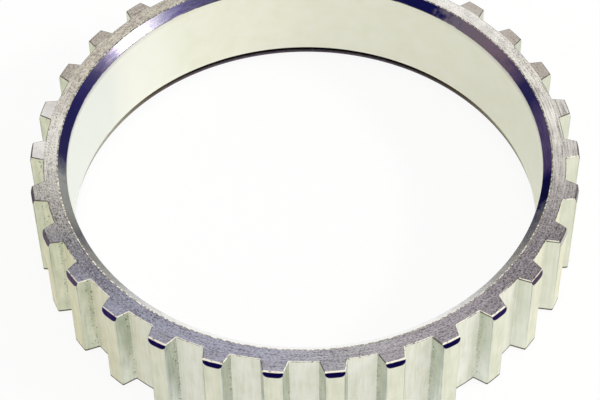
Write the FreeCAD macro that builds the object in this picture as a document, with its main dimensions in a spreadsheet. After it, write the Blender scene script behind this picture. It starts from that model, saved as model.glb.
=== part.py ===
import FreeCAD, Part
import math
import os

import Sketcher

# A toothed ring that is pressed onto a drive shaft joint or hub, where a sensor reads its passing teeth.
# It is turned from steel tube, bored and chamfered, and its gaps are then cut straight along its axis.
# Frame: +Z is the ring's axis, z = 0 is the lower face, and the middle of a tooth lies on +X.

document = FreeCAD.newDocument("tone_ring")

# Driving dimensions in millimetres. A chamfer's width is radial and its depth is along the axis.
DIMENSIONS = [
    ("tooth_count", 30),
    ("bore_diameter", 78.0),
    ("rim_thickness", 3.65),
    ("tooth_depth", 2.35),
    ("ring_height", 18.0),
    ("tooth_root_width", 4.35),
    ("tooth_tip_width", 3.0),
    ("root_corner_radius", 0.3),
    ("tip_edge_radius", 0.35),
    ("tip_chamfer_width", 0.35),
    ("tip_chamfer_depth", 1.25),
    ("tip_break_width", 0.15),
    ("tip_break_depth", 0.15),
    ("bore_lead_width", 1.4),
    ("bore_lead_depth", 1.25),
    ("bore_exit_width", 0.5),
    ("bore_exit_depth", 1.8),
    ("cutter_overrun", 1.0),
]

sheet = document.addObject("Spreadsheet::Sheet", "sizes")
for row, (alias, number) in enumerate(DIMENSIONS, start=1):
    sheet.set("A%d" % row, alias)
    sheet.set("B%d" % row, str(number))
    sheet.setAlias("B%d" % row, alias)
document.recompute()

# The three radii, each built out from the one inside it.
BORE_RADIUS = "sizes.bore_diameter / 2"
ROOT_RADIUS = BORE_RADIUS + " + sizes.rim_thickness"
OUTER_RADIUS = ROOT_RADIUS + " + sizes.tooth_depth"

# Which point of a line or arc a constraint holds. Items -1 and -2 are a sketch's own two axes, along X
# and along Y, and the origin is the start of the first.
START, END, CENTRE = range(1, 4)
ORIGIN = (-1, START)


def value(expression):
    """What an expression in the driving dimensions comes to."""
    return float(sheet.evalExpression(expression))


def originItem(body, role):
    """The body's own origin plane or axis with that role."""
    return next(item for item in body.Origin.OriginFeatures if item.Role == role)


def newSketch(body, name, role):
    """An empty sketch on one of the body's origin planes."""
    sketch = body.newObject("Sketcher::SketchObject", name)
    sketch.AttachmentSupport = [(originItem(body, role), "")]
    sketch.MapMode = "FlatFace"
    return sketch


def drive(sketch, name, expression, kind, *places):
    """Adds a dimension of that kind to the sketch, named, and driven by the expression."""
    index = sketch.addConstraint(Sketcher.Constraint(kind, *places, value(expression)))
    sketch.renameConstraint(index, name)
    sketch.setExpression("Constraints." + name, expression)


def drawSection(body):
    """The turned section, with the radius along X and the height along Y, chamfered at all four corners."""
    sketch = newSketch(body, "section", "XZ_Plane")
    bore = value(BORE_RADIUS)
    outer = value(OUTER_RADIUS)
    height = value("sizes.ring_height")
    corners = [
        (bore + value("sizes.bore_exit_width"), 0.0),
        (outer - value("sizes.tip_break_width"), 0.0),
        (outer, value("sizes.tip_break_depth")),
        (outer, height - value("sizes.tip_chamfer_depth")),
        (outer - value("sizes.tip_chamfer_width"), height),
        (bore + value("sizes.bore_lead_width"), height),
        (bore, height - value("sizes.bore_lead_depth")),
        (bore, value("sizes.bore_exit_depth")),
    ]
    points = [FreeCAD.Vector(x, y, 0) for x, y in corners]
    following = points[1:] + points[:1]
    lines = [sketch.addGeometry(Part.LineSegment(a, b), False) for a, b in zip(points, following)]
    lowerFace, tipBreak, outerWall, tipChamfer, upperFace, boreLead, boreWall, boreExit = lines
    for line, after in zip(lines, lines[1:] + lines[:1]):
        sketch.addConstraint(Sketcher.Constraint("Coincident", line, END, after, START))
    sketch.addConstraint(Sketcher.Constraint("PointOnObject", lowerFace, START, -1))
    for level in (lowerFace, upperFace):
        sketch.addConstraint(Sketcher.Constraint("Horizontal", level))
    for upright in (outerWall, boreWall):
        sketch.addConstraint(Sketcher.Constraint("Vertical", upright))

    drive(sketch, "boreRadius", BORE_RADIUS, "DistanceX", *ORIGIN, boreWall, START)
    drive(sketch, "outerRadius", OUTER_RADIUS, "DistanceX", *ORIGIN, outerWall, START)
    drive(sketch, "height", "sizes.ring_height", "DistanceY", *ORIGIN, upperFace, START)

    # Each chamfer: its line, its end nearer the axis, its lower end and the dimensions that drive it.
    chamfers = [
        ("tipBreak", tipBreak, START, START, "sizes.tip_break_"),
        ("tipChamfer", tipChamfer, END, START, "sizes.tip_chamfer_"),
        ("boreLead", boreLead, END, END, "sizes.bore_lead_"),
        ("boreExit", boreExit, START, END, "sizes.bore_exit_"),
    ]
    other = {START: END, END: START}
    for name, line, inner, lower, sizes in chamfers:
        drive(sketch, name + "Width", sizes + "width", "DistanceX", line, inner, line, other[inner])
        drive(sketch, name + "Depth", sizes + "depth", "DistanceY", line, lower, line, other[lower])
    return sketch


def halfGap(radius, toothWidth):
    """Half the width of the gap at that radius: what the tooth leaves of half a pitch."""
    return "(%s) * sin(180 deg / sizes.tooth_count - asin(%s / 2 / (%s)))" % (radius, toothWidth, radius)


def circlePoint(x, radius):
    """The upper point at that x of a circle about the origin."""
    return FreeCAD.Vector(x, math.sqrt(radius ** 2 - x ** 2), 0)


def outTo(radius, point, direction):
    """Where the line through the point along the direction comes out at that radius."""
    middle = point.dot(direction)
    reach = math.sqrt(middle ** 2 - point.dot(point) + radius ** 2)
    return point + direction * (reach - middle)


def arcBetween(centre, start, end):
    """The arc about the centre that turns anticlockwise from start to end."""
    angles = [math.atan2(point.y - centre.y, point.x - centre.x) for point in (start, end)]
    circle = Part.Circle(centre, FreeCAD.Vector(0, 0, 1), start.distanceToPoint(centre))
    return Part.ArcOfCircle(circle, *angles)


def drawGap(body):
    """One gap between two teeth, as seen along the axis and centred on +Y.

    Its floor is an arc about the ring's axis. A small corner radius leads from the floor into each
    straight flank, and an edge radius rounds the long edge where the flank meets the tooth's tip.
    """
    sketch = newSketch(body, "gap", "XY_Plane")
    middle = FreeCAD.Vector(0, 0, 0)
    root = value(ROOT_RADIUS)
    outer = value(OUTER_RADIUS)
    corner = value("sizes.root_corner_radius")
    edge = value("sizes.tip_edge_radius")
    halfFloor = halfGap(ROOT_RADIUS, "sizes.tooth_root_width")
    halfMouth = halfGap(OUTER_RADIUS, "sizes.tooth_tip_width")

    # The right flank runs from its foot on the root circle to its lip on the outer circle.
    foot = circlePoint(value(halfFloor), root)
    lip = circlePoint(value(halfMouth), outer)
    up = (lip - foot).normalize()
    across = FreeCAD.Vector(-up.y, up.x, 0)
    cornerMiddle = outTo(root + corner, foot + across * corner, up)
    edgeMiddle = outTo(outer - edge, foot - across * edge, up)
    floorEnd = cornerMiddle * (root / (root + corner))
    flankLow = cornerMiddle - across * corner
    flankHigh = edgeMiddle + across * edge
    tipStart = edgeMiddle * (outer / (outer - edge))
    mouth = FreeCAD.Vector(tipStart.x, outer + value("sizes.cutter_overrun"), 0)

    def flip(point):
        return FreeCAD.Vector(-point.x, point.y, 0)

    def draw(shape, construction=False):
        return sketch.addGeometry(shape, construction)

    def hold(*words):
        sketch.addConstraint(Sketcher.Constraint(*words))

    floor = draw(arcBetween(middle, floorEnd, flip(floorEnd)))
    rightCorner = draw(arcBetween(cornerMiddle, floorEnd, flankLow))
    rightFlank = draw(Part.LineSegment(flankLow, flankHigh))
    rightEdge = draw(arcBetween(edgeMiddle, tipStart, flankHigh))
    rightSide = draw(Part.LineSegment(tipStart, mouth))
    mouthLine = draw(Part.LineSegment(mouth, flip(mouth)))
    leftSide = draw(Part.LineSegment(flip(mouth), flip(tipStart)))
    leftEdge = draw(arcBetween(flip(edgeMiddle), flip(flankHigh), flip(tipStart)))
    leftFlank = draw(Part.LineSegment(flip(flankHigh), flip(flankLow)))
    leftCorner = draw(arcBetween(flip(cornerMiddle), flip(flankLow), flip(floorEnd)))
    outerCircle = draw(Part.Circle(middle, FreeCAD.Vector(0, 0, 1), outer), construction=True)
    footPoint = draw(Part.Point(foot), construction=True)
    lipPoint = draw(Part.Point(lip), construction=True)

    # The right side, smooth from the floor to the outer circle, then straight out past it.
    hold("Coincident", floor, CENTRE, *ORIGIN)
    hold("Coincident", outerCircle, CENTRE, *ORIGIN)
    hold("Tangent", floor, START, rightCorner, START)
    hold("Tangent", rightCorner, END, rightFlank, START)
    hold("Tangent", rightFlank, END, rightEdge, END)
    hold("Tangent", rightEdge, START, outerCircle)
    hold("Coincident", rightEdge, START, rightSide, START)
    hold("Vertical", rightSide)
    hold("Coincident", rightSide, END, mouthLine, START)

    # The left side is the right one mirrored about +Y.
    hold("Coincident", mouthLine, END, leftSide, START)
    hold("Coincident", leftSide, END, leftEdge, END)
    hold("Coincident", leftEdge, START, leftFlank, START)
    hold("Coincident", leftFlank, END, leftCorner, START)
    hold("Coincident", leftCorner, END, floor, END)
    hold("Symmetric", mouthLine, START, mouthLine, END, -2)
    hold("Symmetric", rightSide, START, leftSide, END, -2)
    hold("Symmetric", rightFlank, END, leftFlank, START, -2)
    hold("Symmetric", rightFlank, START, leftFlank, END, -2)
    hold("Symmetric", floor, START, floor, END, -2)
    hold("Equal", rightCorner, leftCorner)
    hold("Equal", rightEdge, leftEdge)

    # The sharp corners that the radii round off, which carry the widths of the tooth.
    hold("PointOnObject", footPoint, START, floor)
    hold("PointOnObject", footPoint, START, rightFlank)
    hold("PointOnObject", lipPoint, START, outerCircle)
    hold("PointOnObject", lipPoint, START, rightFlank)

    drive(sketch, "rootRadius", ROOT_RADIUS, "Radius", floor)
    drive(sketch, "outerRadius", OUTER_RADIUS, "Radius", outerCircle)
    drive(sketch, "cornerRadius", "sizes.root_corner_radius", "Radius", rightCorner)
    drive(sketch, "edgeRadius", "sizes.tip_edge_radius", "Radius", rightEdge)
    drive(sketch, "halfFloor", halfFloor, "DistanceX", *ORIGIN, footPoint, START)
    drive(sketch, "halfMouth", halfMouth, "DistanceX", *ORIGIN, lipPoint, START)
    mouthHeight = OUTER_RADIUS + " + sizes.cutter_overrun"
    drive(sketch, "mouthHeight", mouthHeight, "DistanceY", *ORIGIN, mouthLine, START)
    return sketch


ring = document.addObject("PartDesign::Body", "tone_ring")
ring.Label = "tone_ring"
ring.Placement = FreeCAD.Placement()

blank = ring.newObject("PartDesign::Revolution", "blank")
blank.Profile = drawSection(ring)
blank.ReferenceAxis = (blank.Profile[0], ["V_Axis"])
blank.Angle = 360.0
document.recompute()

gapCut = ring.newObject("PartDesign::Pocket", "gap_cut")
gapCut.Profile = drawGap(ring)
gapCut.Type = "ThroughAll"
gapCut.Reversed = True
document.recompute()

teeth = ring.newObject("PartDesign::PolarPattern", "teeth")
teeth.Originals = [gapCut]
teeth.Axis = (originItem(ring, "Z_Axis"), [""])
teeth.Angle = 360.0
teeth.setExpression("Occurrences", "sizes.tooth_count")
ring.Tip = teeth
document.recompute()

failed = [item.Name for item in document.Objects if {"Invalid", "Error"} & set(item.State)]
if failed:
    raise RuntimeError("failed to build: " + ", ".join(failed))
if ring.Shape.isNull() or not ring.Shape.isValid() or len(ring.Shape.Solids) != 1:
    raise RuntimeError("the ring is not one valid solid")

oneGap = blank.Shape.Volume - gapCut.Shape.Volume
allGaps = blank.Shape.Volume - ring.Shape.Volume
if oneGap <= 0 or abs(allGaps / oneGap - value("sizes.tooth_count")) > 0.01:
    raise RuntimeError("a gap is missing from the ring")

os.makedirs("parts", exist_ok=True)
ring.Shape.exportStep("parts/%s.step" % ring.Label)
print("%s: %.0f cubic mm, each gap %.1f" % (ring.Label, ring.Shape.Volume, oneGap))
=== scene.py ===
import math

import bpy
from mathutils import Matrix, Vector


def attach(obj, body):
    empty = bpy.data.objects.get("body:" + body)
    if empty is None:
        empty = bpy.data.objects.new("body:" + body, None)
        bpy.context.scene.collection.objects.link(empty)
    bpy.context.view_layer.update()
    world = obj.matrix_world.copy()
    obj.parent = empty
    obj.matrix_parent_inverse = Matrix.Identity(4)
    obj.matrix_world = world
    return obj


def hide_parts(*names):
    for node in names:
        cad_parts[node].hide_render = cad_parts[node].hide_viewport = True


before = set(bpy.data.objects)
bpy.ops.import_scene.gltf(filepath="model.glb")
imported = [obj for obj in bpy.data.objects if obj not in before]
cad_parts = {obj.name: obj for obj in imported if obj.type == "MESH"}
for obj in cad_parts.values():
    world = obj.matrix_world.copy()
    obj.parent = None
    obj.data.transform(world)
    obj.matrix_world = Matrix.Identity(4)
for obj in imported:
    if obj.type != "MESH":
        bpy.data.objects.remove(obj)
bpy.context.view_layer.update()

# A toothed ring of zinc plated steel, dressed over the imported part. Sizes are in millimetres, +Z is the
# ring's axis, z = 0 is its lower face, and the middle of a tooth lies on +X.

mm = 0.001

ring = {
    "teeth": 30,
    "boreRadius": 39.0,
    "rimThickness": 3.65,
    "toothDepth": 2.35,
    "height": 18.0,
    "toothRootWidth": 4.35,
    "toothTipWidth": 3.0,
    "rootCornerRadius": 0.3,
    "tipEdgeRadius": 0.35,
    "tipChamfer": (0.35, 1.25),    # across the radius, along the axis
    "tipBreak": (0.15, 0.15),      # the lower outer corner
    "boreLead": (1.4, 1.25),       # the wide chamfer where the bore opens upwards
    "boreExit": (0.5, 1.8),        # the steep one where it opens downwards
    "upperBreaks": (0.12, 0.13),   # the burr rubbed off the upper face's inner and outer edges
    "lowerBreaks": (0.1, 0.2),
    "wallSteps": 8,                # flats round the wall in one pitch
    "floorSteps": 6,               # flats along the floor of a gap
    "roundSteps": 8,               # flats in each rounded corner
}
rootRadius = ring["boreRadius"] + ring["rimThickness"]
outerRadius = rootRadius + ring["toothDepth"]
middleRadius = (ring["boreRadius"] + outerRadius) / 2
leadRadius = ring["boreRadius"] + ring["boreLead"][0]
rimMiddle = (leadRadius + rootRadius) / 2      # the middle of the upper face, under the teeth
top = ring["height"]
leadEnd = top - ring["boreLead"][1]            # where the wide chamfer meets the bore wall
tipChamferStart = outerRadius - ring["tipChamfer"][0]
tipChamferEnd = top - ring["tipChamfer"][1]    # where the tips' chamfer meets their outside
pitch = 2 * math.pi / ring["teeth"]


# Materials

def addNode(tree, kind, links=None, stops=None, **settings):
    # One shader node: links fills its inputs with values, hex colours or other nodes' outputs, and stops
    # fills a ramp.
    node = tree.nodes.new("ShaderNode" + kind)
    for name, setting in settings.items():
        setattr(node, name, setting)
    for key, source in (links or {}).items():
        if isinstance(source, bpy.types.NodeSocket):
            tree.links.new(source, node.inputs[key])
        else:
            node.inputs[key].default_value = linear(source) if isinstance(source, str) else source
    if stops:
        ramp = node.color_ramp
        while len(ramp.elements) < len(stops):
            ramp.elements.new(1.0)
        for element, (position, shade) in zip(ramp.elements, stops):
            element.position = position
            element.color = linear(shade)
    return node


def linear(shade):
    # An sRGB hex colour as the linear values that Blender's sockets take.
    parts = [int(shade[i:i + 2], 16) / 255 for i in (1, 3, 5)]
    return tuple(c / 12.92 if c <= 0.04045 else ((c + 0.055) / 1.055) ** 2.4 for c in parts) + (1,)


def newMaterial(name):
    material = bpy.data.materials.new(name)
    material.use_nodes = True
    tree = material.node_tree
    tree.nodes.clear()
    return material, tree


def ringPlace(tree):
    # Where a point lies on the ring, in millimetres: the whole vector, the unit vector away from the
    # axis, the radius and the height.
    surface = addNode(tree, "TexCoord").outputs["Object"]
    at = addNode(tree, "VectorMath", {0: surface, "Scale": 1 / mm}, operation="SCALE").outputs[0]
    parts = addNode(tree, "SeparateXYZ", {0: at}).outputs
    flat = addNode(tree, "CombineXYZ", {"X": parts["X"], "Y": parts["Y"]}).outputs[0]
    around = addNode(tree, "VectorMath", {0: flat}, operation="NORMALIZE").outputs[0]
    radius = addNode(tree, "VectorMath", {0: flat}, operation="LENGTH").outputs["Value"]
    return {"at": at, "around": around, "radius": radius, "level": parts["Z"]}


def calc(tree, operation, *sources):
    return addNode(tree, "Math", dict(enumerate(sources)), operation=operation).outputs[0]


def times(tree, a, b):
    return calc(tree, "MULTIPLY", a, b)


def between(tree, source, start, end, low=0.0, high=1.0):
    # Turns the stretch from start to end into low to high, and holds it beyond.
    return addNode(tree, "MapRange", {"Value": source, "From Min": start, "From Max": end,
                                      "To Min": low, "To Max": high}).outputs[0]


def onSide(tree, place, patch):
    # 1 on a patch of the ring and 0 off it. A patch is its middle's angle from +X, the angle to each
    # side of that where it starts to fade, and the one where it ends, in degrees.
    middle, inner, outer = (math.radians(angle) for angle in patch)
    way = (math.cos(middle), math.sin(middle), 0)
    along = addNode(tree, "VectorMath", {0: place["around"], 1: way}, operation="DOT_PRODUCT")
    return between(tree, along.outputs["Value"], math.cos(outer), math.cos(inner))


def shadeBy(tree, source, stops):
    return addNode(tree, "ValToRGB", {"Fac": source}, stops).outputs[0]


def blendIn(tree, share, under, over):
    # The over colour laid on the under one by the share.
    return addNode(tree, "Mix", {0: share, 6: under, 7: over}, data_type="RGBA").outputs[2]


def blendValues(tree, share, under, over):
    return addNode(tree, "Mix", {0: share, 2: under, 3: over}).outputs[0]


def seenThrough(tree, film, colour):
    return addNode(tree, "Mix", {0: 1.0, 6: colour, 7: film}, data_type="RGBA",
                   blend_type="MULTIPLY").outputs[2]


def toolMarks(tree, place, along, across, upwards=0, detail=3.0):
    # Marks that a tool leaves round the axis: how long each is along its arc, how wide across the radius
    # and, on a wall, how tall.
    turn = {0: place["around"], "Scale": middleRadius / along}
    arc = addNode(tree, "VectorMath", turn, operation="SCALE").outputs[0]
    rise = times(tree, place["radius"], 1 / across)
    if upwards:
        rise = calc(tree, "MULTIPLY_ADD", place["level"], 1 / upwards, rise)
    step = addNode(tree, "CombineXYZ", {"Z": rise}).outputs[0]
    where = addNode(tree, "VectorMath", {0: arc, 1: step}, operation="ADD").outputs[0]
    noise = addNode(tree, "TexNoise", {
        "Vector": where, "Scale": 1.0, "Detail": detail, "Roughness": 0.6})
    return noise.outputs["Fac"]


def mottles(tree, place, size, stretch=1.0, detail=2.0):
    # Soft spots of the size given, drawn out along the axis by the stretch.
    spread = (1 / size, 1 / size, 1 / size / stretch)
    where = addNode(tree, "Mapping", {"Vector": place["at"], "Scale": spread})
    noise = addNode(tree, "TexNoise", {
        "Vector": where.outputs[0], "Scale": 1.0, "Detail": detail, "Roughness": 0.55})
    return noise.outputs["Fac"]


def finishOff(tree, material, links, height, depth):
    # The metal's shader, with its relief in millimetres, and the output.
    links["Normal"] = addNode(tree, "Bump", {"Height": height, "Distance": depth * mm}).outputs[0]
    shader = addNode(tree, "BsdfPrincipled", links)
    addNode(tree, "OutputMaterial", {"Surface": shader.outputs[0]})
    return material


turnedLook = {
    "rings": (5.0, 0.25),           # the marks of the tool's rings, their length and width
    "grains": (0.35, 0.2),          # and those of the short grains in them
    "shades": [(0.37, "#9a9694"), (0.46, "#dcdad6"), (0.54, "#f2f0ea"), (0.63, "#ffffff")],
    "ringsShow": (2, 10, 26),       # where the rings show more than the grains
    "topHighlights": [                   # painted highlights: patch, share, and whether they lie only on the tooth tops
        ((54, 10, 22), 0.5, False), ((176, 8, 13), 1.0, True), ((-145, 14, 22), 0.5, True)],
    "film": "#fdfdfc",
    "stains": "#c4bfc4",
    "stainSize": 2.4,
    # painted reflection tints by side: bluish at the front left, pinkish at the right front, warm at the
    # back left
    "reflectionTints": [((-118, 14, 40), "#e9ecff"), ((-42, 18, 40), "#f4eef3"), ((138, 16, 34), "#e6e2da")],
    "blotched": (142, 14, 30),
    "blotchSize": 0.8,
    "blotches": "#8f8783",
    "greyTops": "#cdc8cb",          # the film on the tooth tops
    "clearTops": (-145, 14, 26),    # where they have none of it
    "brownTops": (90, 68, 74),      # where it is browner
    "brownShade": "#c8c2be",
}


def turnedZinc():
    # Zinc plated steel, faced on a lathe: a grey mirror broken up by fine rings from the tool, whose
    # short bright and dark grains sparkle. Painted reflection tints it bluish at the front and warm at
    # the back left, and painted highlights lighten some sides. The real feed is about 0.1 mm, drawn
    # coarser so that it shows.
    look = turnedLook
    material, tree = newMaterial("turnedZinc")
    place = ringPlace(tree)
    rings = toolMarks(tree, place, *look["rings"])
    grains = toolMarks(tree, place, *look["grains"], detail=1.5)
    grainShare = between(tree, onSide(tree, place, look["ringsShow"]), 0.0, 1.0, 0.62, 0.3)
    both = blendValues(tree, grainShare, rings, grains)
    colour = shadeBy(tree, both, look["shades"])
    toothTops = between(tree, place["radius"], rootRadius - 0.05, rootRadius + 0.15)
    # Painted highlights lighten some sides of the face.
    for patch, share, onlyTops in look["topHighlights"]:
        paintedHighlight = times(tree, onSide(tree, place, patch), share)
        paintedHighlight = times(tree, paintedHighlight, toothTops if onlyTops else 1.0)
        colour = blendIn(tree, paintedHighlight, colour, "#ffffff")
    stain = between(tree, mottles(tree, place, look["stainSize"]), 0.54, 0.4, 0.0, 0.3)
    film = blendIn(tree, stain, look["film"], look["stains"])
    # Painted reflection tints the film by side.
    for patch, tint in look["reflectionTints"]:
        film = blendIn(tree, onSide(tree, place, patch), film, tint)
    blotches = between(tree, mottles(tree, place, look["blotchSize"]), 0.6, 0.4, 0.0, 0.4)
    blotches = times(tree, blotches, onSide(tree, place, look["blotched"]))
    film = blendIn(tree, blotches, film, look["blotches"])
    greyTops = between(tree, onSide(tree, place, look["clearTops"]), 0.0, 1.0, 0.3, 0.0)
    film = blendIn(tree, times(tree, toothTops, greyTops), film, look["greyTops"])
    brownTops = times(tree, toothTops, onSide(tree, place, look["brownTops"]))
    film = blendIn(tree, brownTops, film, look["brownShade"])
    rough = between(tree, grains, 0.35, 0.65, 0.06, 0.14)
    tangent = addNode(tree, "Tangent", direction_type="RADIAL", axis="Z")
    return finishOff(tree, material, {
        "Base Color": seenThrough(tree, film, colour), "Metallic": 1.0, "Roughness": rough,
        "Anisotropic": 0.6, "Anisotropic Rotation": 0.25, "Tangent": tangent.outputs[0]},
        both, depth=0.002)


def fromTooth(tree, place):
    # How far a point lies to the side of the nearest tooth's middle, in millimetres.
    parts = addNode(tree, "SeparateXYZ", {0: place["around"]}).outputs
    angle = calc(tree, "ARCTAN2", parts["Y"], parts["X"])
    return calc(tree, "PINGPONG", times(tree, angle, outerRadius), outerRadius * pitch / 2)


leadLook = {
    "shades": [    # from a square look to a glancing one, with painted reflection: pale at a glance, purple-grey bands
        (0.065, "#10104e"), (0.09, "#6d6474"), (0.15, "#736470"), (0.2, "#2c2858"), (0.28, "#1c1a50"),
        (0.37, "#1e1c4e"), (0.465, "#040440"), (0.545, "#686676"), (0.64, "#afaeb2"), (0.74, "#f8f8f8")],
    "glints": [    # the tint of what it mirrors, the same way
        (0.36, "#ffffff"), (0.42, "#303078"), (0.47, "#303078"), (0.505, "#ffffff")],
    "film": [      # patches of painted reflection by side, the glint's streaks among them: patch, share, colour
        ((4, 8, 13), 0.85, "#54466c"), ((31, 4, 9), 0.6, "#7a6478"), ((122, 6, 12), 0.9, "#6a6588"),
        ((138, 8, 14), 0.7, "#6c6c6c"), ((150, 4, 9), 0.8, "#33314a")],
    "bare": (-167, 5, 13),           # where grey painted reflection shows at a glancing look
    "bareShade": "#9a9c9c",
    "plainGlint": (-165, 14, 24),    # where what it mirrors isn't tinted
    "mottled": 0.08,                 # how far the clouds in the film shift its colour
    "gloss": 0.06,
}

tipLook = {
    "shades": [
        (0.0, "#050034"), (0.32, "#060040"), (0.42, "#281a50"), (0.58, "#65565f"), (0.8, "#786e62")],
    "glints": [(0.7, "#b4b4d0"), (0.88, "#3c3c38")],
    "tipEdgeHighlight": (-79, 45, 49),           # where the tips' upper edge carries a painted highlight
    "tipEdgeHighlightShade": "#f3ead6",
    "bare": (-12, 13, 22),           # where the film is only a narrow band
    "bareShade": "#e0decb",
    "below": "#d6d5c4",              # under the film's curved lower corners
    "mottled": 0.1,
    "gloss": 0.05,
}


def bluedLead(tree, place, film):
    # The wide chamfer gets patches of painted reflection by side, brushed along its marks, and grey
    # painted reflection at the left at a glancing look.
    look, colour = leadLook, film["colour"]
    for patch, share, shade in look["film"]:
        brushed = between(tree, film["marks"], 0.42, 0.56, share / 2, share)
        colour = blendIn(tree, times(tree, onSide(tree, place, patch), brushed), colour, shade)
    glancing = between(tree, film["glance"], 0.36, 0.42, 0.0, 0.9)
    bare = times(tree, onSide(tree, place, look["bare"]), glancing)
    tint = blendIn(tree, onSide(tree, place, look["plainGlint"]), film["tint"], "#ffffff")
    return blendIn(tree, bare, colour, look["bareShade"]), tint


def bluedTip(tree, place, film):
    # The tooth tips' chamfers have a painted highlight along their upper edge at the front and a film
    # with curved lower corners, of which only a narrow band is left at the right.
    look, level = tipLook, place["level"]
    ragged = calc(tree, "MULTIPLY_ADD", film["clouds"], 0.25, level)
    tipEdgeHighlight = times(tree, onSide(tree, place, look["tipEdgeHighlight"]), between(tree, ragged, top - 0.16, top - 0.1))
    colour = blendIn(tree, tipEdgeHighlight, film["colour"], look["tipEdgeHighlightShade"])
    bare = times(tree, onSide(tree, place, look["bare"]), between(tree, level, top - 0.4, top - 0.6))
    colour = blendIn(tree, bare, colour, look["bareShade"])
    aside = times(tree, fromTooth(tree, place), 2 / ring["toothTipWidth"])
    curve = calc(tree, "MULTIPLY_ADD", calc(tree, "POWER", aside, 5.0), -0.45, level)
    uncovered = between(tree, curve, tipChamferEnd + 0.09, tipChamferEnd - 0.01)
    return blendIn(tree, uncovered, colour, look["below"]), film["tint"]


def bluedZinc(name, look, wear):
    # Burnished zinc under a thin blue passivation film: a smooth dark mirror, navy where it is looked at
    # squarely, and pale at a glancing look by a painted reflection that runs with the angle.
    material, tree = newMaterial(name)
    place = ringPlace(tree)
    marks = toolMarks(tree, place, along=2.5, across=0.3, upwards=0.3)
    clouds = mottles(tree, place, 1.2)
    glance = addNode(tree, "LayerWeight", {"Blend": 0.5}).outputs["Facing"]
    glance = calc(tree, "MULTIPLY_ADD", clouds, look["mottled"], glance)
    glance = calc(tree, "SUBTRACT", glance, look["mottled"] / 2)
    # The colour runs with the look's angle as painted reflection.
    colour = shadeBy(tree, glance, look["shades"])
    tint = shadeBy(tree, glance, look["glints"])
    colour, tint = wear(tree, place, {
        "marks": marks, "clouds": clouds, "glance": glance, "colour": colour, "tint": tint})
    return finishOff(tree, material, {
        "Base Color": colour, "Metallic": 1.0, "Roughness": 0.27, "Specular Tint": tint,
        "Coat Weight": look["gloss"], "Coat Roughness": 0.08}, marks, depth=0.005)


def exitPaintedShadow():
    # The steep chamfer at the bore's lower edge, dull and dark: painted shadow, nearly black at the front
    # and the back, paler towards its two sides, with a purple-grey painted shadow edge towards its lower
    # rim.
    material, tree = newMaterial("exitPaintedShadow")
    place = ringPlace(tree)
    exitSpots = mottles(tree, place, 0.8)
    fromSides = calc(tree, "ABSOLUTE", addNode(tree, "SeparateXYZ", {0: place["around"]}).outputs["Y"])
    colour = shadeBy(tree, fromSides, [
        (0.2, "#c4c4b6"), (0.34, "#bbbaa9"), (0.5, "#a9a892"), (0.71, "#504731"), (0.87, "#17120e"),
        (1.0, "#100e10")])
    rubbed = calc(tree, "MULTIPLY_ADD", exitSpots, -0.6, place["level"])
    # A purple-grey painted shadow edge towards the lower rim.
    colour = blendIn(tree, between(tree, rubbed, ring["boreExit"][1] / 2, -0.5), colour, "#857b88")
    return finishOff(tree, material, {
        "Base Color": colour, "Metallic": 0.0, "Roughness": 0.5, "Specular IOR Level": 0.0},
        exitSpots, depth=0.003)


wallLook = {
    "shades": [(0.4, "#ecedda"), (0.85, "#f1f1e4")],
    "cloudSize": 3.0,
    "cool": ((172, 20, 50), "#e9ece6"),
    # a painted highlight on the wall at the back left
    "wallHighlight": ((136, 4, 14), "#fbfbf0"),
    "purple": "#a99fad",      # the film under the chamfer
    "plain": (90, 20, 62),    # where it isn't purple
    "line": "#4d4833",        # the dark line where it ends
}


def boredZinc():
    # The bore wall, fine bored and then plated: matte and creamy, with faint clouds in the film, which
    # turns purplish just under the chamfer and ends there in a thin dark line, and a painted highlight at
    # the back left.
    look = wallLook
    material, tree = newMaterial("boredZinc")
    place = ringPlace(tree)
    marks = toolMarks(tree, place, along=3.0, across=1.0, upwards=0.3)
    clouds = mottles(tree, place, look["cloudSize"])
    colour = shadeBy(tree, calc(tree, "MULTIPLY_ADD", marks, 0.25, clouds), look["shades"])
    for side, share in (("cool", 1.0), ("wallHighlight", 0.5)):
        patch, shade = look[side]
        colour = blendIn(tree, times(tree, onSide(tree, place, patch), share), colour, shade)
    sides = between(tree, onSide(tree, place, look["plain"]), 0.0, 1.0, 0.75, 0.0)
    purple = times(tree, sides, between(tree, place["level"], leadEnd - 1.35, leadEnd + 0.15))
    colour = blendIn(tree, purple, colour, look["purple"])
    line = between(tree, place["level"], leadEnd - 0.19, leadEnd - 0.13)
    line = times(tree, line, between(tree, clouds, 0.34, 0.46))
    colour = blendIn(tree, line, colour, look["line"])
    return finishOff(tree, material, {
        "Base Color": colour, "Metallic": 0.6, "Roughness": 0.6}, marks, depth=0.003)


toothLook = {
    "warm": [((178, 32, 62), "#fffbe9"), ((8, 20, 48), "#fffcee")],
    "streaks": (0.45, 14),                # how wide, and how many times as long
    "clouds": (1.8, 2),
    "pinholeSize": 0.35,
    "pinholes": "#7e8872",
    # a painted highlight on the flanks at the right front, without pinholes
    "flankHighlight": (-14, 26, 46),
    "flankHighlightShade": "#f1f1df",
    "shadowLinedFlanks": (-44, 16, 26),    # with a painted shadow line under their top edge
    "flankShadowLine": "#5b5747",
    "lowerLine": (0.55, 0.4),             # how high the painted shadow along the lower edge fades and is full
    "lowerShade": "#57533d",
}


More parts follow.
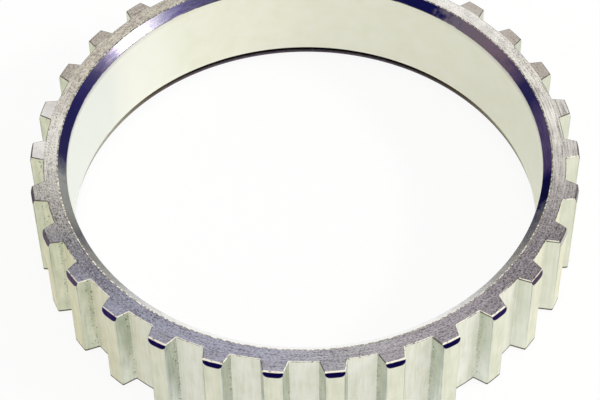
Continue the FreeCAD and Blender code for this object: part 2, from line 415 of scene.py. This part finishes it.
def toothZinc(name, stops, specks, metallic, roughness):
    # Milled tooth faces under matte zinc: creamy, streaked along the cutter's way, with dark pinholes
    # that gather in the root corners and a painted shadow along the lower edge. The flanks get a painted
    # highlight at the right front and a painted shadow line under their top edge.
    look, isFlank = toothLook, name == "milledFlank"
    material, tree = newMaterial(name)
    place = ringPlace(tree)
    streaks = mottles(tree, place, *look["streaks"])
    clouds = mottles(tree, place, *look["clouds"])
    colour = shadeBy(tree, blendValues(tree, 0.5, streaks, clouds), stops)
    film = "#ffffff"
    for patch, tint in look["warm"]:
        film = blendIn(tree, onSide(tree, place, patch), film, tint)
    colour = seenThrough(tree, film, colour)
    spots = mottles(tree, place, look["pinholeSize"], detail=1.0)
    if isFlank:
        corner = between(tree, place["radius"], rootRadius + 1.35, rootRadius + 0.15, 0.0, 0.14)
        spots = calc(tree, "SUBTRACT", spots, corner)
    unpitted = between(tree, spots, specks, specks + 0.04)
    if isFlank:
        # A painted highlight on the flanks at the right front, where no pinholes are drawn.
        flankHighlightMask = onSide(tree, place, look["flankHighlight"])
        colour = blendIn(tree, times(tree, flankHighlightMask, 0.5), colour, look["flankHighlightShade"])
        unpitted = calc(tree, "MAXIMUM", unpitted, flankHighlightMask)
    colour = blendIn(tree, unpitted, look["pinholes"], colour)
    if isFlank:
        # A painted shadow line just under the top edge of the flanks at the right front.
        under = between(tree, place["level"], top - 0.42, top - 0.36)
        under = times(tree, onSide(tree, place, look["shadowLinedFlanks"]), under)
        colour = blendIn(tree, under, colour, look["flankShadowLine"])
    # A painted shadow along the lower edge, where the ring stands on the floor.
    lower = between(tree, place["level"], *look["lowerLine"])
    colour = blendIn(tree, lower, colour, look["lowerShade"])
    return finishOff(tree, material, {
        "Base Color": colour, "Metallic": metallic, "Roughness": roughness}, streaks, depth=0.01)


edgeLook = {
    "rimHighlight": (-93, 74, 84),    # where the bore's upper edge gets its full painted highlight
    "elsewhere": 0.6,             # how much painted highlight it keeps beyond that
    # the shades of the painted highlight and of the painted shade, across the nicks
    "bright": [(0.36, "#918b78"), (0.42, "#faf6e8")],
    "dull": [(0.36, "#332b2e"), (0.56, "#6f6864")],
    "roots": [(0.45, "#4a4334"), (0.58, "#e2dbc6")],
    "lower": "#4d4935",
    "nickSize": 0.5,
}


def brokenEdge(name, edgeHighlightSide):
    # Edges with the burr rubbed off: a thin painted highlight with dark nicks in it on one side of the
    # ring, more nicks along the tooth roots, painted shade along the back and a painted shadow along the
    # lower face.
    look = edgeLook
    material, tree = newMaterial(name)
    place = ringPlace(tree)
    radius, level = place["radius"], place["level"]
    nicks = mottles(tree, place, look["nickSize"])
    atBore = between(tree, radius, rimMiddle, rimMiddle - 0.1)
    dents = calc(tree, "MULTIPLY_ADD", atBore, -0.13, nicks)
    # Painted highlight on the given side for the teeth, at the front for the bore's edge and the tips;
    # painted shade elsewhere.
    teethHighlight = onSide(tree, place, edgeHighlightSide)
    rimHighlight = between(tree, onSide(tree, place, look["rimHighlight"]), 0.0, 1.0, look["elsewhere"], 1.0)
    edgeLight = blendValues(tree, atBore, teethHighlight, rimHighlight)
    onTips = between(tree, radius, tipChamferStart - 0.05, tipChamferStart + 0.05)
    edgeLight = blendValues(tree, onTips, edgeLight, onSide(tree, place, tipLook["tipEdgeHighlight"]))
    bright, dull = shadeBy(tree, dents, look["bright"]), shadeBy(tree, dents, look["dull"])
    colour = blendIn(tree, edgeLight, dull, bright)
    root = between(tree, radius, rootRadius + 0.75, rootRadius + 0.45)
    root = times(tree, root, between(tree, radius, rimMiddle - 0.1, rimMiddle))
    root = times(tree, root, between(tree, level, top - 0.05, top - 0.08))
    colour = blendIn(tree, root, colour, shadeBy(tree, nicks, look["roots"]))
    # A painted shadow along the lower edges, where the ring stands on the floor.
    colour = blendIn(tree, between(tree, level, top / 2, top / 2 - 0.1), colour, look["lower"])
    return finishOff(tree, material, {
        "Base Color": colour, "Metallic": between(tree, edgeLight, 0.0, 1.0, 0.0, 0.4), "Roughness": 0.4,
        "Specular IOR Level": 0.15}, nicks, depth=0.004)


finishes = {
    "end": turnedZinc(),
    "lead": bluedZinc("bluedLead", leadLook, bluedLead),
    "wall": boredZinc(),
    "exit": exitPaintedShadow(),
    "tip": toothZinc("turnedTip", [(0.36, "#d6d7c1"), (0.6, "#e4e5d2")],
                     specks=0.16, metallic=0.6, roughness=0.55),
    "floor": toothZinc("milledFloor", [(0.36, "#dfe0cf"), (0.5, "#e9eadc"), (0.6, "#eeefe5")],
                       specks=0.15, metallic=0.6, roughness=0.6),
    "flank": toothZinc("milledFlank", [(0.36, "#bfc7b9"), (0.62, "#dde1d6")],
                       specks=0.23, metallic=1.0, roughness=0.38),
    "tipChamfer": bluedZinc("bluedTip", tipLook, bluedTip),
    "edge": brokenEdge("rubbedEdgePaintedLight", (-96, 50, 56)),
    "clockwiseEdge": brokenEdge("clockwiseEdgePaintedLight", (-28, 28, 34)),
}
slotOf = {part: index for index, part in enumerate(finishes)}
print("finishes: %d materials" % len(finishes))


# The ring's shape

spare = 1.0    # how far a blank or a cutter stands past the ring


def editMode(piece, selectBy):
    bpy.ops.object.select_all(action="DESELECT")
    bpy.context.view_layer.objects.active = piece
    piece.select_set(True)
    bpy.ops.object.mode_set(mode="EDIT")
    bpy.ops.mesh.select_mode(type=selectBy)
    bpy.ops.mesh.select_all(action="SELECT")


def objectMode():
    bpy.ops.object.mode_set(mode="OBJECT")


def choose(piece, items, test):
    # Selects the vertices, edges or faces that pass the test, which gets their points in millimetres.
    bpy.ops.mesh.select_all(action="DESELECT")
    objectMode()
    points = [vertex.co / mm for vertex in piece.data.vertices]
    chosen = 0
    for item in getattr(piece.data, items):
        corners = [points[item.index]] if items == "vertices" else [points[i] for i in item.vertices]
        item.select = test(corners)
        chosen += item.select
    bpy.ops.object.mode_set(mode="EDIT")
    return chosen


def radiusOf(point):
    return math.hypot(point.x, point.y)


def angleOf(point):
    # How far the point lies round the axis from +Y, towards +X.
    return math.atan2(point.x, point.y)


def near(a, b, room=0.01):
    return abs(a - b) < room


def addSection(name, inner, outer, low, high):
    # A plane that stands on +Y, across the wall from the inner to the outer radius.
    bpy.ops.object.select_all(action="DESELECT")
    middle = (0, (inner + outer) / 2 * mm, (low + high) / 2 * mm)
    bpy.ops.mesh.primitive_plane_add(size=mm, location=middle, rotation=(0, math.pi / 2, 0))
    section = bpy.context.object
    section.name = name
    section.scale = (high - low, outer - inner, 1)
    bpy.ops.object.transform_apply(location=True, rotation=True, scale=True)
    return section


def turnSection(angle, steps):
    # Spins the section in edit mode by the angle, half of it to each side of +Y.
    bpy.ops.mesh.select_all(action="SELECT")
    bpy.ops.mesh.spin(steps=steps, angle=angle, center=(0, 0, 0), axis=(0, 0, 1))
    bpy.ops.mesh.select_all(action="SELECT")
    bpy.ops.transform.rotate(value=-angle / 2, orient_axis="Z", center_override=(0, 0, 0))
    bpy.ops.mesh.normals_make_consistent(inside=False)


def combine(piece, tool, operation):
    bpy.ops.object.select_all(action="DESELECT")
    bpy.context.view_layer.objects.active = piece
    cut = piece.modifiers.new("cut", "BOOLEAN")
    cut.operation = operation
    cut.solver = "EXACT"
    cut.object = tool
    bpy.ops.object.modifier_apply(modifier=cut.name)
    bpy.data.objects.remove(tool)


def turnedWall():
    # The turned wall with its chamfers, a little wider and fatter than the pitch that it trims.
    bore, extraFlats = ring["boreRadius"], 3
    wall = addSection("turnedWall", bore, outerRadius + spare, 0, top)
    editMode(wall, "FACE")
    corners = [
        (bore, top, -1, 1, ring["boreLead"]),
        (bore, 0, -1, -1, ring["boreExit"]),
        (outerRadius, top, 1, 1, ring["tipChamfer"]),
        (outerRadius, 0, 1, -1, ring["tipBreak"]),
    ]
    for radius, level, outwards, upwards, (width, depth) in corners:
        slope = math.hypot(width, depth)
        bpy.ops.mesh.select_all(action="SELECT")
        bpy.ops.mesh.bisect(
            plane_co=(0, (radius - outwards * width) * mm, level * mm),
            plane_no=(0, outwards * depth / slope, upwards * width / slope),
            clear_outer=True)
    steps = ring["wallSteps"] + extraFlats
    turnSection(pitch * steps / ring["wallSteps"], steps)
    objectMode()
    return wall


def flankAngles():
    # How far the gap's flank lies from the gap's middle at the root and at the tip, and its direction.
    foot = pitch / 2 - math.asin(ring["toothRootWidth"] / 2 / rootRadius)
    lip = pitch / 2 - math.asin(ring["toothTipWidth"] / 2 / outerRadius)
    footX, footY = rootRadius * math.sin(foot), rootRadius * math.cos(foot)
    lipX, lipY = outerRadius * math.sin(lip), outerRadius * math.cos(lip)
    return foot, lip, math.atan2(lipX - footX, lipY - footY)


def gapCutter():
    # What cuts one gap: a block with its floor on the root circle, flared to follow the flanks.
    foot, _, lean = flankAngles()
    beyond = outerRadius + spare
    cutter = addSection("gapCutter", rootRadius, beyond, -2 * spare, top + 2 * spare)
    editMode(cutter, "VERT")
    turnSection(2 * foot, ring["floorSteps"])
    footX, footY = rootRadius * math.sin(foot), rootRadius * math.cos(foot)
    along = footX * math.sin(lean) + footY * math.cos(lean)
    reach = math.sqrt(along ** 2 - rootRadius ** 2 + beyond ** 2) - along
    mouth = math.atan2(footX + reach * math.sin(lean), footY + reach * math.cos(lean))
    for side in (1, -1):
        choose(cutter, "vertices", lambda corners: radiusOf(corners[0]) > outerRadius
               and near(angleOf(corners[0]), side * foot, 0.0001))
        bpy.ops.transform.rotate(value=side * (mouth - foot), orient_axis="Z", center_override=(0, 0, 0))
    objectMode()
    return cutter


def roundCorners(piece):
    # The root corners and the long edges of the tooth tips.
    foot, lip, lean = flankAngles()
    flankNormal = lean - math.pi / 2
    editMode(piece, "EDGE")
    for radius, angle, rounding in (
            (rootRadius, foot, "rootCornerRadius"), (outerRadius, lip, "tipEdgeRadius")):
        found = choose(piece, "edges", lambda ends: all(
            near(radiusOf(end), radius) and near(abs(angleOf(end)), angle, 0.0002) for end in ends))
        print("%s: %d edges" % (rounding, found))
        offset = ring[rounding] * math.tan((angle - flankNormal) / 2)
        bpy.ops.mesh.bevel(offset=offset * mm, segments=ring["roundSteps"], affect="EDGES")
    objectMode()


def onePitch():
    # One pitch, its gap in the middle: a plain block, milled, rounded and then turned to its section.
    block = addSection("toneRing", ring["boreRadius"] - spare, outerRadius, -spare, top + spare)
    editMode(block, "FACE")
    turnSection(pitch, ring["wallSteps"])
    objectMode()
    combine(block, gapCutter(), "DIFFERENCE")
    roundCorners(block)
    combine(block, turnedWall(), "INTERSECT")
    return block


def closeRing(pitchPiece):
    # Opens the pitch's two ends, repeats it round the axis and welds the copies together.
    editMode(pitchPiece, "FACE")
    found = choose(pitchPiece, "polygons", lambda corners: all(
        near(abs(angleOf(corner)), pitch / 2, 0.00005) for corner in corners))
    print("pitch: %d faces at its ends" % found)
    bpy.ops.mesh.delete(type="FACE")
    bpy.ops.mesh.select_all(action="SELECT")
    count = ring["teeth"] - 1
    bpy.ops.mesh.spin(steps=count, angle=pitch * count, dupli=True, center=(0, 0, 0), axis=(0, 0, 1))
    bpy.ops.mesh.select_all(action="SELECT")
    bpy.ops.mesh.remove_doubles(threshold=0.002 * mm)
    bpy.ops.mesh.normals_make_consistent(inside=False)
    objectMode()


def breakEdges(piece):
    # Takes the burr off round both end faces, in one flat along the bore's chamfers and in two round the
    # teeth.
    editMode(piece, "EDGE")
    for level, (innerWidth, outerWidth) in ((top, ring["upperBreaks"]), (0, ring["lowerBreaks"])):
        for side, width, flats in ((-1, innerWidth, 1), (1, outerWidth, 2)):
            found = choose(piece, "edges", lambda ends: all(
                near(end.z, level) and side * (radiusOf(end) - rimMiddle) > 0 for end in ends))
            print("edge at %s: %d" % (level, found))
            bpy.ops.mesh.bevel(offset=width * mm, segments=flats, affect="EDGES",
                               material=slotOf["edge"])
    objectMode()


def finishFaces(piece):
    # Gives each face its finish by where it lies and how it was cut.
    bore = ring["boreRadius"]
    for face in piece.data.polygons:
        radius, level = radiusOf(face.center / mm), face.center.z / mm
        flatness = abs(face.normal.z)
        outwards = face.normal.x * face.center.x + face.normal.y * face.center.y > 0
        sideways = (face.normal.y * face.center.x - face.normal.x * face.center.y) / mm / radius
        if face.material_index == slotOf["edge"]:
            # The flanks' edges that face clockwise get their painted highlight on a side of the ring of
            # their own.
            part = "clockwiseEdge" if radius > rootRadius + 0.1 and sideways < -0.25 else "edge"
        elif flatness > 0.99:
            part = "end"
        elif radius < bore + 0.01 and flatness < 0.05:
            part = "wall"
        elif radius < leadRadius and not outwards:
            part = "lead" if level > top / 2 else "exit"
        elif face.normal.z > 0.1:
            part = "tipChamfer"
        elif radius > outerRadius - 0.03:
            part = "tip"
        elif radius < rootRadius + 0.03:
            part = "floor"
        else:
            part = "flank"
        face.material_index = slotOf[part]


toneRing = onePitch()
closeRing(toneRing)
for finish in finishes.values():
    toneRing.data.materials.append(finish)
breakEdges(toneRing)
finishFaces(toneRing)
bpy.ops.object.select_all(action="DESELECT")
toneRing.select_set(True)
bpy.context.view_layer.objects.active = toneRing
bpy.ops.object.shade_smooth_by_angle(angle=math.radians(10))    # smooths the flats, keeps the chamfers
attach(toneRing, "root")
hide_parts("tone_ring")
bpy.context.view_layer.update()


# The studio

studio = {
    "floorSize": 6.0,
    "floorDrop": 0.02,                 # how far the floor lies under the ring, in millimetres
    "paperShare": 0.9,                 # how far the paper is plain white to the eye, against lit paper
    "ceiling": [                       # degrees above the floor, from where the pale walls end
        (48.5, "#fbf9f4"), (49.4, "#a5a3a2"), (50.6, "#908d92"), (51.8, "#8d8a91"), (54.2, "#cbcad0"),
        (60.0, "#d0cfd4")],
    "sideShade": "#9a969e",            # the dimmer wall on the left
    "sideReach": (0.84, 0.95),         # how squarely left a look is where it starts and is full
    "lampWay": (0.80, -0.08, 0.61),    # a long soft lamp on the right
    "lampSize": (0.28, 0.10),
    "lampBrightness": 45.0,
    "lens": 123.3,
    "cameraPlace": (2.280, -222.489, 270.088),    # millimetres
    "cameraTurn": (40.010, 0.5175, 0.1935),       # degrees
}


def addFloor():
    # White paper: plain white to the eye and in the metal, and lit paper to everything else.
    bpy.ops.object.select_all(action="DESELECT")
    bpy.ops.mesh.primitive_plane_add(
        size=studio["floorSize"], location=(0, 0, -studio["floorDrop"] * mm))
    floor = bpy.context.object
    floor.name = "floor"
    material, tree = newMaterial("paperFloor")
    lit = addNode(tree, "BsdfPrincipled", {"Base Color": "#fafafa", "Roughness": 0.9})
    plain = addNode(tree, "Emission", {"Color": "#ffffff", "Strength": 1.0})
    ray = addNode(tree, "LightPath").outputs
    seen = calc(tree, "MAXIMUM", ray["Is Camera Ray"], ray["Is Glossy Ray"])
    seen = calc(tree, "MAXIMUM", seen, ray["Is Transmission Ray"])
    share = times(tree, seen, studio["paperShare"])
    mix = addNode(tree, "MixShader", {0: share, 1: lit.outputs[0], 2: plain.outputs[0]})
    addNode(tree, "OutputMaterial", {"Surface": mix.outputs[0]})
    floor.data.materials.append(material)


def addLamp():
    lamp = bpy.data.lights.new("keyLamp", "AREA")
    lamp.shape = "RECTANGLE"
    lamp.size, lamp.size_y = studio["lampSize"]
    lamp.energy = studio["lampBrightness"] * math.pi * lamp.size * lamp.size_y
    holder = bpy.data.objects.new("keyLamp", lamp)
    bpy.context.collection.objects.link(holder)
    holder.location = studio["lampWay"]
    holder.rotation_euler = Vector(studio["lampWay"]).to_track_quat("Z", "Y").to_euler()


def addSky():
    # A room with pale walls and a dimmer ceiling, which the turned faces mirror.
    world = bpy.data.worlds.new("softRoom")
    world.use_nodes = True
    tree = world.node_tree
    tree.nodes.clear()
    way = addNode(tree, "TexCoord").outputs["Generated"]
    rise = addNode(tree, "SeparateXYZ", {0: way}).outputs["Z"]
    stops = [(math.sin(math.radians(level)), tone) for level, tone in studio["ceiling"]]
    shade = shadeBy(tree, rise, stops)
    left = addNode(tree, "VectorMath", {0: way, 1: (-1.0, 0.0, 0.0)}, operation="DOT_PRODUCT")
    side = between(tree, left.outputs["Value"], *studio["sideReach"])
    shade = blendIn(tree, side, shade, studio["sideShade"])
    light = addNode(tree, "Background", {"Color": shade, "Strength": 1.0})
    addNode(tree, "OutputWorld", {"Surface": light.outputs[0]})
    bpy.context.scene.world = world


def addCamera():
    view = bpy.data.cameras.new("camera")
    view.lens = studio["lens"]
    view.sensor_width = 36
    view.clip_start = 0.01
    view.clip_end = 50
    holder = bpy.data.objects.new("camera", view)
    bpy.context.collection.objects.link(holder)
    holder.location = [part * mm for part in studio["cameraPlace"]]
    holder.rotation_euler = [math.radians(angle) for angle in studio["cameraTurn"]]
    bpy.context.scene.camera = holder


addFloor()
addLamp()
addSky()
addCamera()
bpy.context.scene.view_settings.view_transform = "Standard"
print("studio: lamp %s m" % (studio["lampSize"],))
